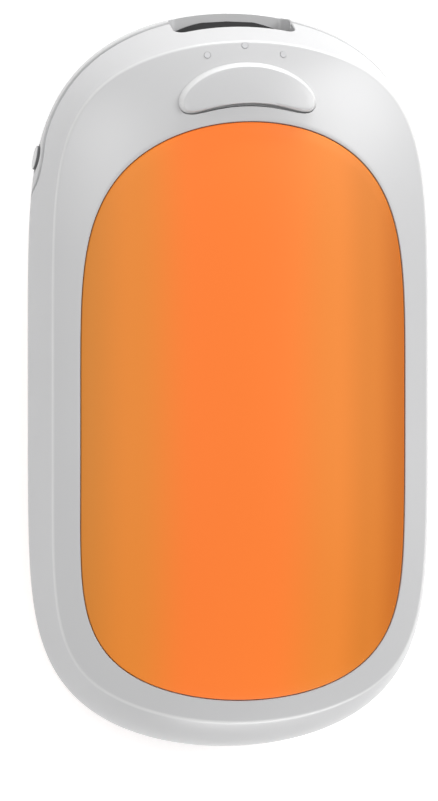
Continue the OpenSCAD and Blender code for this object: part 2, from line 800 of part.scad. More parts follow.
// Dark liner that leads a plug from the rim to the socket
module bay_liner() {
    color("black")
    intersection() {
        translate([0, 0, mid_z + bay_z])
            difference() {
                bar_y(bay_w - 2 * liner_fit, bay_h - 2 * liner_fit, bay_r - liner_fit, usb_y1 + seat, half_l);
                bar_y(bay_w - 2 * liner_fit - 2 * liner_side, bay_h - 2 * liner_fit - 2 * liner_wall,
                    bay_r - liner_fit - liner_wall, usb_y1 - past, half_l + past);
            }
        ring_stack(
            [0, 0, mid_z - bay_h],
            [
                for (h = [-bay_h, 0, bay_h / 2, bay_h])
                    [for (a = ring_angles(shell_n)) at(flank_at(a, h, bay_depth), h, 1)]
            ],
            [0, 0, mid_z + bay_h],
            true
        );
        // Its rim bows in towards the ends of the mouth
        translate([0, half_l - bay_depth - liner_bow, mid_z + bay_z - bay_h])
            cylinder(r = liner_bow, h = 2 * bay_h);
    }
}

module charge_socket_shell() {
    color("silver")
    edge_frame(1, key_y, charge_z)
        difference() {
            slot_x(charge_w, charge_h, -charge_in - charge_l, -charge_in);
            slot_x(charge_w - 2 * charge_t, charge_h - 2 * charge_t, -charge_in - charge_l + 1, past);
        }
}

module charge_socket_tongue() {
    color("black")
    edge_frame(1, key_y, charge_z)
        translate([-charge_in - charge_l + 1, -charge_tongue_w / 2, -charge_tongue_t / 2])
            cube([charge_l - 1.8, charge_tongue_w, charge_tongue_t]);
}

module heat_button() color("whitesmoke") button_body();

// Square tactile switch on the button board, with a bore for its plunger
module heat_switch() {
    color("black")
    translate([0, switch_y, mid_z + button_board_z1])
        difference() {
            translate([-switch_w / 2, -switch_w / 2, seat]) cube([switch_w, switch_w, switch_h - seat]);
            translate([0, 0, 0.4]) cylinder(d = plunger_d + 2 * plunger_fit, h = switch_h);
        }
}

module heat_switch_plunger() {
    top = crown([0, switch_y + plunger_d / 2]) - face_t - flange_gap - flange_t - seat;
    low = button_board_z1 + 0.5 + button_travel;
    color("white")
    translate([0, switch_y, mid_z + low]) cylinder(d = plunger_d, h = top - low);
}

// Round side key with a domed face and a flange behind the wall
module side_button() {
    r = key_d / 2;
    color("whitesmoke")
    edge_frame(-1, key_y, key_z) rotate([0, 90, 0])
        rotate_extrude()
            polygon(concat(
                [[0, -key_back], [r + key_flange_w, -key_back], [r + key_flange_w, -key_in], [r, -key_in]],
                [for (i = [6:-1:0]) [r * i / 6, key_tip - pow(r * i / 6, 2) / (2 * key_dome_r)]]
            ));
}

module side_switch() {
    color("black")
    edge_frame(-1, key_y, key_z)
        difference() {
            translate([-side_switch_out, -side_switch_w / 2, -side_switch_h / 2])
                cube([side_switch_t, side_switch_w, side_switch_h]);
            rod_x(side_plunger_d + 2 * plunger_fit, -side_switch_in - 1.2, -side_switch_in + past);
        }
}

module side_switch_plunger() {
    color("white")
    edge_frame(-1, key_y, key_z)
        rod_x(side_plunger_d, -side_switch_in - 1.1 + key_travel, -key_back - seat);
}

// Clear rods that carry the light of the LEDs to the shell
module indicator_lenses() {
    color("white")
    for (p = lights) {
        rod_l = (crown(p) - led_z1 - led_clear) / cos(light_tilt);
        light_frame(p) translate([0, 0, -rod_l]) cylinder(d = light_d, h = rod_l + light_proud);
    }
}

// The LEDs lie on the axes of the rods
module indicator_leds() {
    color("lightyellow")
    for (p = lights) {
        led_y = p[1] - (crown(p) - led_z1) * tan(light_tilt);
        translate([p[0] - led_w / 2, led_y - led_l / 2, mid_z + led_z1 - led_h]) cube([led_w, led_l, led_h]);
    }
}

// Pan head screw with its head down, from the height 0 to l
module screw(d, l, head_d, head_h) {
    difference() {
        union() {
            cylinder(d = d, h = l);
            translate([0, 0, -head_h]) cylinder(d = head_d, h = head_h);
        }
        for (turn = [0, 90])
            rotate([0, 0, turn])
                translate([-head_d * 0.3, -head_d * 0.08, -head_h - past])
                    cube([head_d * 0.6, head_d * 0.16, past + head_h * 0.5]);
    }
}

module case_screws() {
    color("silver")
    each_boss()
        translate([0, 0, -boss_top_z + screw_head_h + seat])
            screw(screw_d, boss_top_z - screw_head_h + screw_z1, screw_head_d, screw_head_h);
}

module board_screws() {
    color("silver")
    for (x = [-post_x, post_x]) {
        translate([x, post_y, mid_z + button_board_z0 - seat])
            screw(post_screw_d, post_screw_l, post_head_d, post_head_h);
        translate([x, post_y, mid_z + board_z1 + seat])
            mirror([0, 0, 1]) screw(post_screw_d, post_screw_l, post_head_d, post_head_h);
    }
}

front_shell();
rear_shell();
front_heat_plate();
rear_heat_plate();
front_heater_film();
rear_heater_film();
heater_leads();
thermistor();
cell_left();
cell_right();
cell_tabs();
battery_cradle();
main_board();
button_board();
board_link();
control_chip();
power_inductor();
board_capacitors();
usb_out_shell();
usb_out_tongue();
bay_liner();
charge_socket_shell();
charge_socket_tongue();
heat_button();
heat_switch();
heat_switch_plunger();
side_button();
side_switch();
side_switch_plunger();
indicator_lenses();
indicator_leds();
case_screws();
board_screws();
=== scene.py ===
import math

import bpy
from mathutils import Matrix, Vector


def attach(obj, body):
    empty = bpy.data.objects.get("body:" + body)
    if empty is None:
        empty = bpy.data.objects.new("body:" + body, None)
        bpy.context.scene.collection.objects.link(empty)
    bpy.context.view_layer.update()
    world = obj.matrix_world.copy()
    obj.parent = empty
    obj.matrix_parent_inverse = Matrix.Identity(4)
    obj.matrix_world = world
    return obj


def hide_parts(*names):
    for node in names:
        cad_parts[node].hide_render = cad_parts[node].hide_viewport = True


# Hand warmer lying on its rear plate, seen from the front. Lengths are in millimetres and become
# metres where a mesh is made. A height is measured from the middle plane of the body, towards the
# front (side 1) or towards the rear (side -1).

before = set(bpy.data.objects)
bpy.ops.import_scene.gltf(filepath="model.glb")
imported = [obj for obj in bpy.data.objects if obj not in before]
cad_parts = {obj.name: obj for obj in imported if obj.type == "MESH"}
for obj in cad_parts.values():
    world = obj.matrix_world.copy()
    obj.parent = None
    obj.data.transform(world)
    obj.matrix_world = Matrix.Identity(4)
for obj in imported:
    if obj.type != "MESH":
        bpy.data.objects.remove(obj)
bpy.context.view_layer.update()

MM = 0.001
MID_Z = 12.65

# Body, as in the part
HALF_W, HALF_L = 30.0, 53.25
TOP_POWER, BOTTOM_POWER = 5.0, 5.8
EDGE_SIDE, EDGE_END, EDGE_POWER, EDGE_H = 1.9, 3.85, 3, 6.75
CROWN_H = 13.0
CROWN_R = (HALF_W - EDGE_SIDE) ** 2 / (2 * (CROWN_H - EDGE_H))
BOW_TOP, BOW_TOP_POWER = 57.4, 4.29
BOW_BOTTOM, BOW_BOTTOM_POWER = 54.4, 3.4
FLANK_POWER, FLANK_TOP, FLANK_TOP_REAR, FLANK_BOTTOM = 1.15, 1.05, 2.4, 1.8
WALL = 2.0
WALL_FOOT = 0.6

# Tight bow from the flank over to the face, and the close ring below it
EDGE_BOW, EDGE_LEAD = 0.32, 0.05

# Heat plates, the seat and the ledge that carry them, and the rounding of their rims
PLATE_W, PLATE_Y0, PLATE_Y1 = 48.4, -46.0, 37.8
PLATE_TOP_POWER, PLATE_BOTTOM_POWER = 4.55, 6.4
PLATE_GAP, PLATE_T = 0.11, 1.2
SEAT_DEPTH, LEDGE_W, LEDGE_T, LEDGE_ROOT = 1.25, 1.6, 1.2, 1.5
SEAT_RIM_R, PLATE_RIM_R = 0.18, 0.2

# Parting line with its step and its arch by the side key, its groove as insets with their rises,
# and the rise at which the flank starts
PART_LOW, PART_TOP, PART_STEP_START, PART_STEP_L = -1.1, 0.9, 7, 4
PART_ARCH, PART_ARCH_W, PART_ARCH_SHIFT = 0.75, 3.0, 0.7
PART_CLEARANCE = 0.02
GROOVE = ((0.9, 0.0), (0.9, 0.26), (0.12, 0.26), (0.03, 0.32), (0.0, 0.4))
FLANK_START = 0.48

# Mouth at the top end
MOUTH_W, MOUTH_H, MOUTH_Z, MOUTH_R = 18.2, 5.9, 1.55, 1.6
MOUTH_FLOOR_Y, MOUTH_OUTER_Y = 44, 60
MOUTH_CHAMFER = 0.66

# Crescent button: its outline, its hole and the chamfer of that
BUTTON_W, BUTTON_TIP_Y, BUTTON_OVER, BUTTON_UNDER, BUTTON_LOBE = 20.6, 40.79, 5.61, 0.29, 2.5
OVER_POWER, UNDER_POWER = 1.2, 6.2
BUTTON_MIDDLE = Vector((0, 43.45))
BUTTON_RELIEF, RELIEF_POWER = 0.42, 1.5
BUTTON_RISE = 1.0
HOLE_GAP, HOLE_CHAMFER, HOLE_FLOOR = 0.006, 0.4, 4.0

# Charge lights
LIGHTS = ((-5.7, 47.45), (0, 48.8), (5.7, 47.45))
LIGHT_R = 0.47
LIGHT_TILT = math.radians(20)
LIGHT_FUNNEL = (-0.1, 0.25, 0.42, 0.78)

# Side key in the left edge and charge socket in the right one
KEY_Y, KEY_Z, KEY_R = 32.5, -1.7, 2.1
KEY_GAP, KEY_CAP_R, KEY_RISE = 0.15, 1.75, 0.33
KEY_FUNNEL = (-0.7, 0.6, 2.02, 3.49)
KEY_FLANGE_W, KEY_FLANGE_LOW, KEY_FLANGE_HIGH = 0.65, -3.29, -2.49
# Ring round the key's cap: its drop, its chamfer, and the radius beyond which it is painted dark as
# painted shade for the gap round the cap
KEY_RING_DROP, KEY_RING_CHAMFER, KEY_SHADE_R = 0.65, 0.04, 1.7
KEY_LEAN, KEY_DOME, KEY_STOCK, KEY_CAP_T = 0.13, 0.03, 1.2, 0.14
CHARGE_Z = 0.38
CHARGE_SLOT, CHARGE_CHAMFER = (-5, 1, 9.2, 3.52), (-0.9, 3, 10.14, 4.46)


# Outlines and heights

def signed_power(value, power):
    return math.copysign(abs(value) ** power, value)


def round_share(share, power):
    return math.sqrt(max(0.0, 1 - abs(share) ** power))


def outline(angle, half_w, y0, y1, low_power, high_power):
    """Point and outward direction on an outline with round ends."""
    s, c = math.sin(angle), math.cos(angle)
    power = low_power if s < 0 else high_power
    half_l = (y1 - y0) / 2
    x = math.copysign(1, c) * half_w * round_share(s, power) if abs(c) > 1e-7 else 0.0
    out = Vector((2 * x / half_w ** 2, signed_power(s, power - 1) * power / half_l))
    return Vector((x, (y0 + y1) / 2 + s * half_l)), out.normalized()


def body_outline(angle):
    return outline(angle, HALF_W, -HALF_L, HALF_L, BOTTOM_POWER, TOP_POWER)


def plate_outline(angle, inset):
    point, out = outline(angle, PLATE_W / 2, PLATE_Y0, PLATE_Y1,
                         PLATE_BOTTOM_POWER, PLATE_TOP_POWER)
    return point - inset * out


def crown(point):
    """Height of a face above the middle plane."""
    x, y = point
    bow, power = (BOW_BOTTOM, BOW_BOTTOM_POWER) if y < 0 else (BOW_TOP, BOW_TOP_POWER)
    return CROWN_H * round_share(y / bow, power) - x * x / (2 * CROWN_R)


def edge_inset(angle):
    return EDGE_SIDE + (EDGE_END - EDGE_SIDE) * abs(body_outline(angle)[1].y) ** EDGE_POWER


def edge_point(angle):
    point, out = body_outline(angle)
    return point - edge_inset(angle) * out


def flank_inset(angle, z):
    """Inset of the flank at the height z in front of the middle plane."""
    normal_y = body_outline(angle)[1].y
    end = FLANK_BOTTOM if normal_y < 0 else FLANK_TOP_REAR if z < 0 else FLANK_TOP
    shape = FLANK_POWER + (end - FLANK_POWER) * abs(normal_y) ** EDGE_POWER
    return edge_inset(angle) * min(1.0, abs(z) / crown(edge_point(angle))) ** shape


def flank_point(angle, z, inset=0.0):
    point, out = body_outline(angle)
    return point - (flank_inset(angle, z) + inset) * out


def flank_y(x, height):
    """Length at which the top flank stands at this x and height."""
    low, high = math.radians(30), math.radians(90)
    for _ in range(40):
        middle = (low + high) / 2
        if flank_point(middle, height).x > abs(x):
            low = middle
        else:
            high = middle
    return flank_point((low + high) / 2, height).y


def ease(t):
    t = min(1.0, max(0.0, t))
    return t * t * (3 - 2 * t)


def parting_height(y):
    """Height of the parting line: it steps up short of the side key and arches round it."""
    rise = ease((y - KEY_Y + PART_STEP_START) / PART_STEP_L)
    arch = PART_ARCH * math.exp(-((y - KEY_Y + PART_ARCH_SHIFT) / PART_ARCH_W) ** 2)
    return PART_LOW + (PART_TOP - PART_LOW) * rise + arch


def place(point, height, side=1):
    """A plan point at a height on the front or the rear, in metres."""
    return (point[0] * MM, point[1] * MM, (MID_Z + side * height) * MM)


def ring_angles(count):
    return [2 * math.pi * i / count for i in range(count)]


# Ways of working

def only(piece):
    """Leaves this piece alone selected and active."""
    bpy.ops.object.select_all(action="DESELECT")
    piece.select_set(True)
    bpy.context.view_layer.objects.active = piece


def laid_grid(name, rings, loop=False, painted_highlight=None):
    """A grid with a row for each ring is laid onto the rings and its seams are merged. As a loop
    its last row meets the first, otherwise its end rings close to a pole each. The last argument
    gives each ring's share of a painted highlight: a lighter tone painted along a moulded edge."""
    columns = len(rings[0])
    rows = rings + [rings[0]] if loop else rings
    bpy.ops.object.select_all(action="DESELECT")
    bpy.ops.mesh.primitive_grid_add(x_subdivisions=columns, y_subdivisions=len(rows) - 1, size=0.1)
    piece = bpy.context.object
    piece.name = name
    piece.data.name = name
    places = [value for row in rows for column in range(columns + 1)
              for value in row[column % columns]]
    piece.data.vertices.foreach_set("co", places)
    if painted_highlight:
        row_shares = (painted_highlight + painted_highlight[:1])[:len(rows)]
        shares = [share for share in row_shares for _ in range(columns + 1)]
        attribute = piece.data.attributes.new("painted_highlight", "FLOAT", "POINT")
        attribute.data.foreach_set("value", shares)
    bpy.ops.object.mode_set(mode="EDIT")
    bpy.ops.mesh.select_all(action="SELECT")
    bpy.ops.mesh.remove_doubles(threshold=1e-7)
    bpy.ops.mesh.normals_make_consistent(inside=False)
    bpy.ops.object.mode_set(mode="OBJECT")
    return piece


def cut(piece, cutter):
    """Cuts a cutter out of a piece and throws the cutter away."""
    only(piece)
    modifier = piece.modifiers.new("cut", "BOOLEAN")
    modifier.operation = "DIFFERENCE"
    modifier.solver = "EXACT"
    modifier.object = cutter
    bpy.ops.object.modifier_apply(modifier=modifier.name)
    bpy.data.objects.remove(cutter, do_unlink=True)


def smooth(piece, degrees=35):
    only(piece)
    bpy.ops.object.shade_smooth_by_angle(angle=math.radians(degrees))


def turned_to(out):
    """Turn that points a primitive's top along out, with its own y axis towards the front."""
    along = Vector((-out.y, out.x, 0)).normalized()
    return Matrix((along, out.cross(along), out)).transposed().to_euler()


def bore(piece, spot, out, low, high, low_r, high_r):
    """Cuts a round hole or a funnel that runs from low to high along out."""
    bpy.ops.object.select_all(action="DESELECT")
    bpy.ops.mesh.primitive_cone_add(
        vertices=64, radius1=low_r * MM, radius2=high_r * MM, depth=(high - low) * MM,
        location=spot + out * (low + high) / 2 * MM, rotation=turned_to(out))
    cut(piece, bpy.context.object)


def slot_cut(piece, spot, out, low, high, width, height):
    """Cuts a slot with round ends that runs from low to high along out."""
    depth = high - low
    bpy.ops.object.select_all(action="DESELECT")
    bpy.ops.mesh.primitive_cube_add(
        size=1, location=spot + out * (low + high) / 2 * MM, rotation=turned_to(out),
        scale=(width * MM, height * MM, depth * MM))
    block = bpy.context.object
    bpy.ops.object.mode_set(mode="EDIT")
    bpy.ops.mesh.select_mode(type="EDGE")
    bpy.ops.mesh.select_all(action="DESELECT")
    bpy.ops.object.mode_set(mode="OBJECT")
    for edge in block.data.edges:
        start, end = (block.data.vertices[i].co for i in edge.vertices)
        edge.select = abs(start.z - end.z) > 0.9 * depth * MM
    bpy.ops.object.mode_set(mode="EDIT")
    bpy.ops.mesh.bevel(offset=(height / 2 - 0.01) * MM, segments=12, affect="EDGES")
    bpy.ops.object.mode_set(mode="OBJECT")
    cut(piece, block)


# Shells

def shell_wall(name, side):
    """Wall of one shell: groove, flank, edge, face, plate seat, ledge and the inside."""
    angles = ring_angles(288)
    parts = [side * parting_height(body_outline(a)[0].y) + PART_CLEARANCE for a in angles]
    edges = [edge_point(a) for a in angles]
    tops = [crown(edge) for edge in edges]
    rings, painted_highlight = [], []

    # share is the ring's share of the painted highlight along the edge
    def ring(make, share=0.0):
        rings.append([place(*make(i, a), side) for i, a in enumerate(angles)])
        painted_highlight.append(share)

    def groove_ring(inset, rise):
        def make(i, a):
            height = parts[i] + rise
            return flank_point(a, side * height, inset), height
        ring(make)

    def flank_ring(share, rise=0.0):
        def make(i, a):
            low = parts[i] + FLANK_START
            height = low + (tops[i] - EDGE_BOW - EDGE_LEAD - low) * share + rise
            return flank_point(a, side * height), height
        ring(make)

    def edge_ring(t):
        def make(i, a):
            low_height = tops[i] - EDGE_BOW
            low = flank_point(a, side * low_height)
            high = edges[i] - EDGE_BOW * body_outline(a)[1]
            start, turn, end = (1 - t) ** 2, 2 * t * (1 - t), t ** 2
            return (start * low + turn * edges[i] + end * high,
                    start * low_height + turn * tops[i] + end * crown(high))
        # The bow from the flank to the face carries a painted highlight, strongest halfway round it
        ring(make, math.sin(math.pi * t))

    def face_ring(t):
        def make(i, a):
            start = edges[i] - EDGE_BOW * body_outline(a)[1]
            plan = (1 - t) * start + t * plate_outline(a, -PLATE_GAP - SEAT_RIM_R)
            return plan, crown(plan)
        ring(make)

    def seat_ring(inset, drop):
        def make(_, a):
            plan = plate_outline(a, inset)
            return plan, crown(plan) - drop
        ring(make)

    def under_ring(t):
        def make(i, a):
            inner = edges[i] - LEDGE_ROOT * body_outline(a)[1]
            plan = (1 - t) * inner + t * plate_outline(a, LEDGE_W)
            return plan, crown(plan) - SEAT_DEPTH - LEDGE_T
        ring(make)

    for inset, rise in GROOVE:
        groove_ring(inset, rise)
    for step in range(19):
        flank_ring(step / 18)
    flank_ring(1.0, EDGE_LEAD)
    for step in range(1, 8):
        edge_ring(step / 8)
    # Close rings beside the edge keep its bow tight
    for t in [0, 0.008, 0.03] + [(step / 22) ** 1.15 for step in range(2, 22)]:
        face_ring(t)
    for turn in (0, 30, 60, 90):
        t = math.radians(turn)
        seat_ring(-PLATE_GAP - SEAT_RIM_R * (1 - math.sin(t)), SEAT_RIM_R * (1 - math.cos(t)))
    seat_ring(-PLATE_GAP, SEAT_DEPTH)
    seat_ring(LEDGE_W, SEAT_DEPTH)
    seat_ring(LEDGE_W, SEAT_DEPTH + LEDGE_T)
    for t in (0.8, 0.6, 0.4, 0.2, 0.0):
        under_ring(t)
    groove_ring(WALL, WALL_FOOT)
    groove_ring(WALL, 0.0)
    return laid_grid(name, rings, True, painted_highlight)


def crescent_point(t):
    """Outline of the crescent, over and under the line through its two tips."""
    u, s = abs(math.cos(t)), math.sin(t)
    under = (BUTTON_UNDER + BUTTON_LOBE * u * u) * round_share(u, UNDER_POWER)
    y = BUTTON_TIP_Y + (BUTTON_OVER * s ** OVER_POWER if s > 0 else -under)
    return Vector((BUTTON_W / 2 * math.cos(t), y))


def crescent(t, grow):
    along = crescent_point(t + 0.01) - crescent_point(t - 0.01)
    return crescent_point(t) + grow * Vector((along.y, -along.x)).normalized()


def under_share(t, power):
    """How far a point of the crescent lies towards the middle of its under side, from 0 to 1."""
    return max(0.0, -math.sin(t)) ** power


def crescent_cutter():
    """Cutter for the button's hole, wider on its under side, with a small chamfer at the face."""
    turns = ring_angles(160)
    wide = HOLE_GAP + HOLE_CHAMFER
    rows = [[place(BUTTON_MIDDLE, HOLE_FLOOR)] * len(turns)]
    for grow, rise in ((HOLE_GAP, None), (HOLE_GAP, 0.02), (wide, 0.42), (wide, 3.0)):
        row = []
        for t in turns:
            plan = crescent(t, grow + BUTTON_RELIEF * under_share(t, RELIEF_POWER))
            row.append(place(plan, HOLE_FLOOR if rise is None else crown(plan) + rise))
        rows.append(row)
    rows.append([place(BUTTON_MIDDLE, CROWN_H + 3)] * len(turns))
    return laid_grid("crescent_cutter", rows)


def rounded_bar(width, height, radius):
    """Points close together round a bar with round corners, each with its outward direction."""
    points = []
    corners = [Vector((side_x * (width / 2 - radius), side_y * (height / 2 - radius)))
               for side_x, side_y in ((1, 1), (-1, 1), (-1, -1), (1, -1))]
    for number, corner in enumerate(corners):
        for step in range(13):
            t = math.radians(90 * number + 90 * step / 12)
            out = Vector((math.cos(t), math.sin(t)))
            points.append((corner + radius * out, out))
        side_end = corners[(number + 1) % 4] - corner
        for step in range(1, 24):
            points.append((points[-step][0] + side_end * step / 24, out))
    return points


def mouth_cutter():
    """Cutter for the mouth at the top end, with a small chamfer that follows the flank."""
    section = rounded_bar(MOUTH_W, MOUTH_H, MOUTH_R)
    rows = [[place((0, MOUTH_FLOOR_Y), MOUTH_Z)] * len(section)]
    for depth, grow in ((None, 0), (-0.16, 0), (0.5, MOUTH_CHAMFER), (4.0, MOUTH_CHAMFER)):
        row = []
        for point, out in section:
            spot = point + grow * out
            if depth is None:
                y = MOUTH_FLOOR_Y
            else:
                y = flank_y(point.x, point.y + MOUTH_Z) + depth
            row.append(place((spot.x, y), MOUTH_Z + spot.y))
        rows.append(row)
    rows.append([place((0, MOUTH_OUTER_Y), MOUTH_Z)] * len(section))
    return laid_grid("mouth_cutter", rows)


def edge_frame(side, height):
    """Place on the left (-1) or right (1) edge, as far along as the key, and its way out."""
    point, out = body_outline(math.asin(KEY_Y / HALF_L))
    return Vector(place((side * point.x, point.y), height)), Vector((side * out.x, out.y, 0))


front_shell = shell_wall("front_shell_skin", 1)
cut(front_shell, crescent_cutter())
light_out = Vector((0, math.sin(LIGHT_TILT), math.cos(LIGHT_TILT)))
for light in LIGHTS:
    light_spot = Vector(place(light, crown(light)))
    bore(front_shell, light_spot, light_out, -4, 1, LIGHT_R, LIGHT_R)
    bore(front_shell, light_spot, light_out, *LIGHT_FUNNEL)
cut(front_shell, mouth_cutter())

rear_shell = shell_wall("rear_shell_skin", -1)
cut(rear_shell, mouth_cutter())
key_spot, key_out = edge_frame(-1, KEY_Z)
bore(rear_shell, key_spot, key_out, -5, 1.5, KEY_R + KEY_GAP, KEY_R + KEY_GAP)
bore(rear_shell, key_spot, key_out, *KEY_FUNNEL)

charge_spot, charge_out = edge_frame(1, CHARGE_Z)
for shell in (front_shell, rear_shell):
    slot_cut(shell, charge_spot, charge_out, *CHARGE_SLOT)
    slot_cut(shell, charge_spot, charge_out, *CHARGE_CHAMFER)
    smooth(shell)


# Heat plates

def heat_plate(name, side):
    """Crowned sheet with a rounded rim. The rear one has the flat that the warmer rests on."""
    angles = ring_angles(256)
    middle = Vector((0, (PLATE_Y0 + PLATE_Y1) / 2))
    rows = []

    def sheet_ring(share, inset, drop):
        row = []
        for a in angles:
            plan = middle + share * (plate_outline(a, inset) - middle)
            height = crown(plan) - drop
            row.append(place(plan, min(height, MID_Z) if side < 0 else height, side))
        rows.append(row)

    for step in range(25):
        sheet_ring(step / 24, PLATE_RIM_R, 0)
    for turn in (30, 60, 90):
        t = math.radians(turn)
        sheet_ring(1, PLATE_RIM_R * (1 - math.sin(t)), PLATE_RIM_R * (1 - math.cos(t)))
    sheet_ring(1, 0, PLATE_T)
    for step in range(12, -1, -1):
        sheet_ring(step / 12, PLATE_RIM_R, PLATE_T)
    plate = laid_grid(name, rows)
    smooth(plate, 40)
    return plate


front_plate = heat_plate("front_plate_sheet", 1)
rear_plate = heat_plate("rear_plate_sheet", -1)


# Buttons

def crescent_button():
    """Raised cap with a bevel, a skirt in the wider under side of its hole, and a flange."""
    turns = ring_angles(192)
    rows, painted_highlight = [], []

    def cap_ring(share, grow, rise, light=0.0):
        painted_highlight.append(light)
        row = []
        for t in turns:
            edge = crescent(t, grow * (1 - 0.75 * under_share(t, 1.2)))
            plan = BUTTON_MIDDLE + share * (edge - BUTTON_MIDDLE)
            row.append(place(plan, crown(plan) + rise))
        rows.append(row)

    def skirt_ring(rise):
        painted_highlight.append(0.0)
        row = []
        for t in turns:
            plan = crescent(t, 0.85 * BUTTON_RELIEF * under_share(t, RELIEF_POWER))
            row.append(place(plan, crown(plan) + rise))
        rows.append(row)

    for step in range(9):
        cap_ring(step / 8, -0.64, BUTTON_RISE - 0.02 * step / 8)
    # A soft shoulder, then a bevel of about 60 degrees down to the edge. The third number of each
    # row is its share of a painted highlight: a lighter tone painted on the bevel where it catches
    # the light.
    for grow, rise, light in (
            (-0.58, 0.965, 0.4), (-0.52, 0.925, 0.8), (-0.46, 0.865, 1),
            (-0.4, 0.78, 1), (-0.34, 0.67, 1), (-0.22, 0.43, 1),
            (-0.1, 0.2, 0.7), (-0.03, 0.08, 0.3), (0, 0.03, 0)):
        cap_ring(1, grow, rise, light)
    cap_ring(1, 0, -1.0)
    skirt_ring(-1.1)
    skirt_ring(-2.6)
    cap_ring(1, 0, -2.7)
    cap_ring(1, 0.1, -2.7)
    cap_ring(1, 0.1, -3.2)
    for step in range(3, -1, -1):
        cap_ring(step / 4, 0, -3.2)
    button = laid_grid("crescent_cap", rows, painted_highlight=painted_highlight)
    smooth(button, 40)
    return button


crescent_cap = crescent_button()


def side_key():
    """Round key: a light cap on a ring that fills its hole up to the running gap. The ring is
    painted dark: painted shade, where the gap round the cap lies in shadow. It is drawn out of
    its flange, and the cap is cut off on a lean, as the flank leans back. Also gives a place and
    a direction that part the cap from the ring."""
    tip = KEY_RISE - flank_inset(0, KEY_Z)
    lean = (key_out - Vector((0, 0, KEY_LEAN))).normalized()
    top = key_spot + key_out * (tip - KEY_DOME) * MM
    bpy.ops.object.select_all(action="DESELECT")
    bpy.ops.mesh.primitive_cylinder_add(
        vertices=64, radius=(KEY_R + KEY_FLANGE_W) * MM,
        depth=(KEY_FLANGE_HIGH - KEY_FLANGE_LOW) * MM,
        location=key_spot + key_out * (KEY_FLANGE_LOW + KEY_FLANGE_HIGH) / 2 * MM,
        rotation=turned_to(key_out))
    key = bpy.context.object
    key.name = "side_key_cap"
    key.data.name = "side_key_cap"
    bpy.ops.object.mode_set(mode="EDIT")
    bpy.ops.mesh.select_mode(type="FACE")

    def pick_top():
        bpy.ops.mesh.select_all(action="DESELECT")
        bpy.ops.object.mode_set(mode="OBJECT")
        upper = (face for face in key.data.polygons if face.center.z > 0)
        max(upper, key=lambda face: face.area).select = True
        bpy.ops.object.mode_set(mode="EDIT")

    def draw_out(inset, rise):
        bpy.ops.mesh.inset(thickness=inset * MM)
        bpy.ops.mesh.extrude_region_move(TRANSFORM_OT_translate={"value": key_out * rise * MM})

    pick_top()
    draw_out(KEY_FLANGE_W, tip - KEY_RING_DROP - KEY_RING_CHAMFER - KEY_FLANGE_HIGH)
    draw_out(KEY_RING_CHAMFER, KEY_RING_CHAMFER)
    draw_out(KEY_R - KEY_RING_CHAMFER - KEY_CAP_R, KEY_STOCK)
    bpy.ops.mesh.select_all(action="SELECT")
    bpy.ops.mesh.bisect(plane_co=top, plane_no=lean, use_fill=True, clear_outer=True)
    pick_top()
    bpy.ops.mesh.bevel(offset=0.1 * MM, segments=3, affect="EDGES")
    pick_top()
    for dome_rise in (0.012, 0.009, 0.005):
        bpy.ops.mesh.inset(thickness=0.4 * MM)
        bpy.ops.transform.translate(value=lean * dome_rise * MM)
    bpy.ops.mesh.select_all(action="SELECT")
    bpy.ops.mesh.normals_make_consistent(inside=False)
    bpy.ops.object.mode_set(mode="OBJECT")
    bpy.ops.object.transform_apply(location=True, rotation=True, scale=True)
    smooth(key, 40)
    return key, top - lean * KEY_CAP_T * MM, lean


side_cap, ring_spot, ring_out = side_key()


# Materials

def new_material(name):
    material = bpy.data.materials.new(name)
    material.use_nodes = True
    nodes = material.node_tree.nodes
    return material, nodes, material.node_tree.links, nodes["Principled BSDF"]


def grain_group():
    """Fine moulded grain: a height for a bump and for roughness, and a slow mask for the tone."""
    group = bpy.data.node_groups.new("moulded_grain", "ShaderNodeTree")
    for name, kind, way in (("Vector", "NodeSocketVector", "INPUT"),
                            ("Scale", "NodeSocketFloat", "INPUT"),
                            ("Height", "NodeSocketFloat", "OUTPUT"),
                            ("Tone", "NodeSocketFloat", "OUTPUT")):
        group.interface.new_socket(name=name, in_out=way, socket_type=kind)
    nodes, links = group.nodes, group.links
    source, sink = nodes.new("NodeGroupInput"), nodes.new("NodeGroupOutput")
    fine = nodes.new("ShaderNodeTexNoise")
    fine.inputs["Detail"].default_value = 3
    fine.inputs["Roughness"].default_value = 0.6
    slow = nodes.new("ShaderNodeTexNoise")
    slow.inputs["Scale"].default_value = 35
    slow.inputs["Detail"].default_value = 2
    links.new(source.outputs["Vector"], fine.inputs["Vector"])
    links.new(source.outputs["Scale"], fine.inputs["Scale"])
    links.new(source.outputs["Vector"], slow.inputs["Vector"])
    links.new(fine.outputs["Fac"], sink.inputs["Height"])
    links.new(slow.outputs["Fac"], sink.inputs["Tone"])
    return group


GRAIN = grain_group()


def add_grain(material, scale, low_rough, high_rough, strength, distance):
    """Lays the grain on a finish as bump and roughness. Gives its mask and its coordinates."""
    nodes, links = material.node_tree.nodes, material.node_tree.links
    shader = nodes["Principled BSDF"]
    spot = nodes.new("ShaderNodeTexCoord")
    grain = nodes.new("ShaderNodeGroup")
    grain.node_tree = GRAIN
    grain.inputs["Scale"].default_value = scale
    links.new(spot.outputs["Object"], grain.inputs["Vector"])
    rough = nodes.new("ShaderNodeMapRange")
    rough.inputs["To Min"].default_value = low_rough
    rough.inputs["To Max"].default_value = high_rough
    links.new(grain.outputs["Height"], rough.inputs["Value"])
    links.new(rough.outputs["Result"], shader.inputs["Roughness"])
    bump = nodes.new("ShaderNodeBump")
    bump.inputs["Strength"].default_value = strength
    bump.inputs["Distance"].default_value = distance
    links.new(grain.outputs["Height"], bump.inputs["Height"])
    links.new(bump.outputs["Normal"], shader.inputs["Normal"])
    return grain.outputs["Tone"], spot.outputs["Object"]


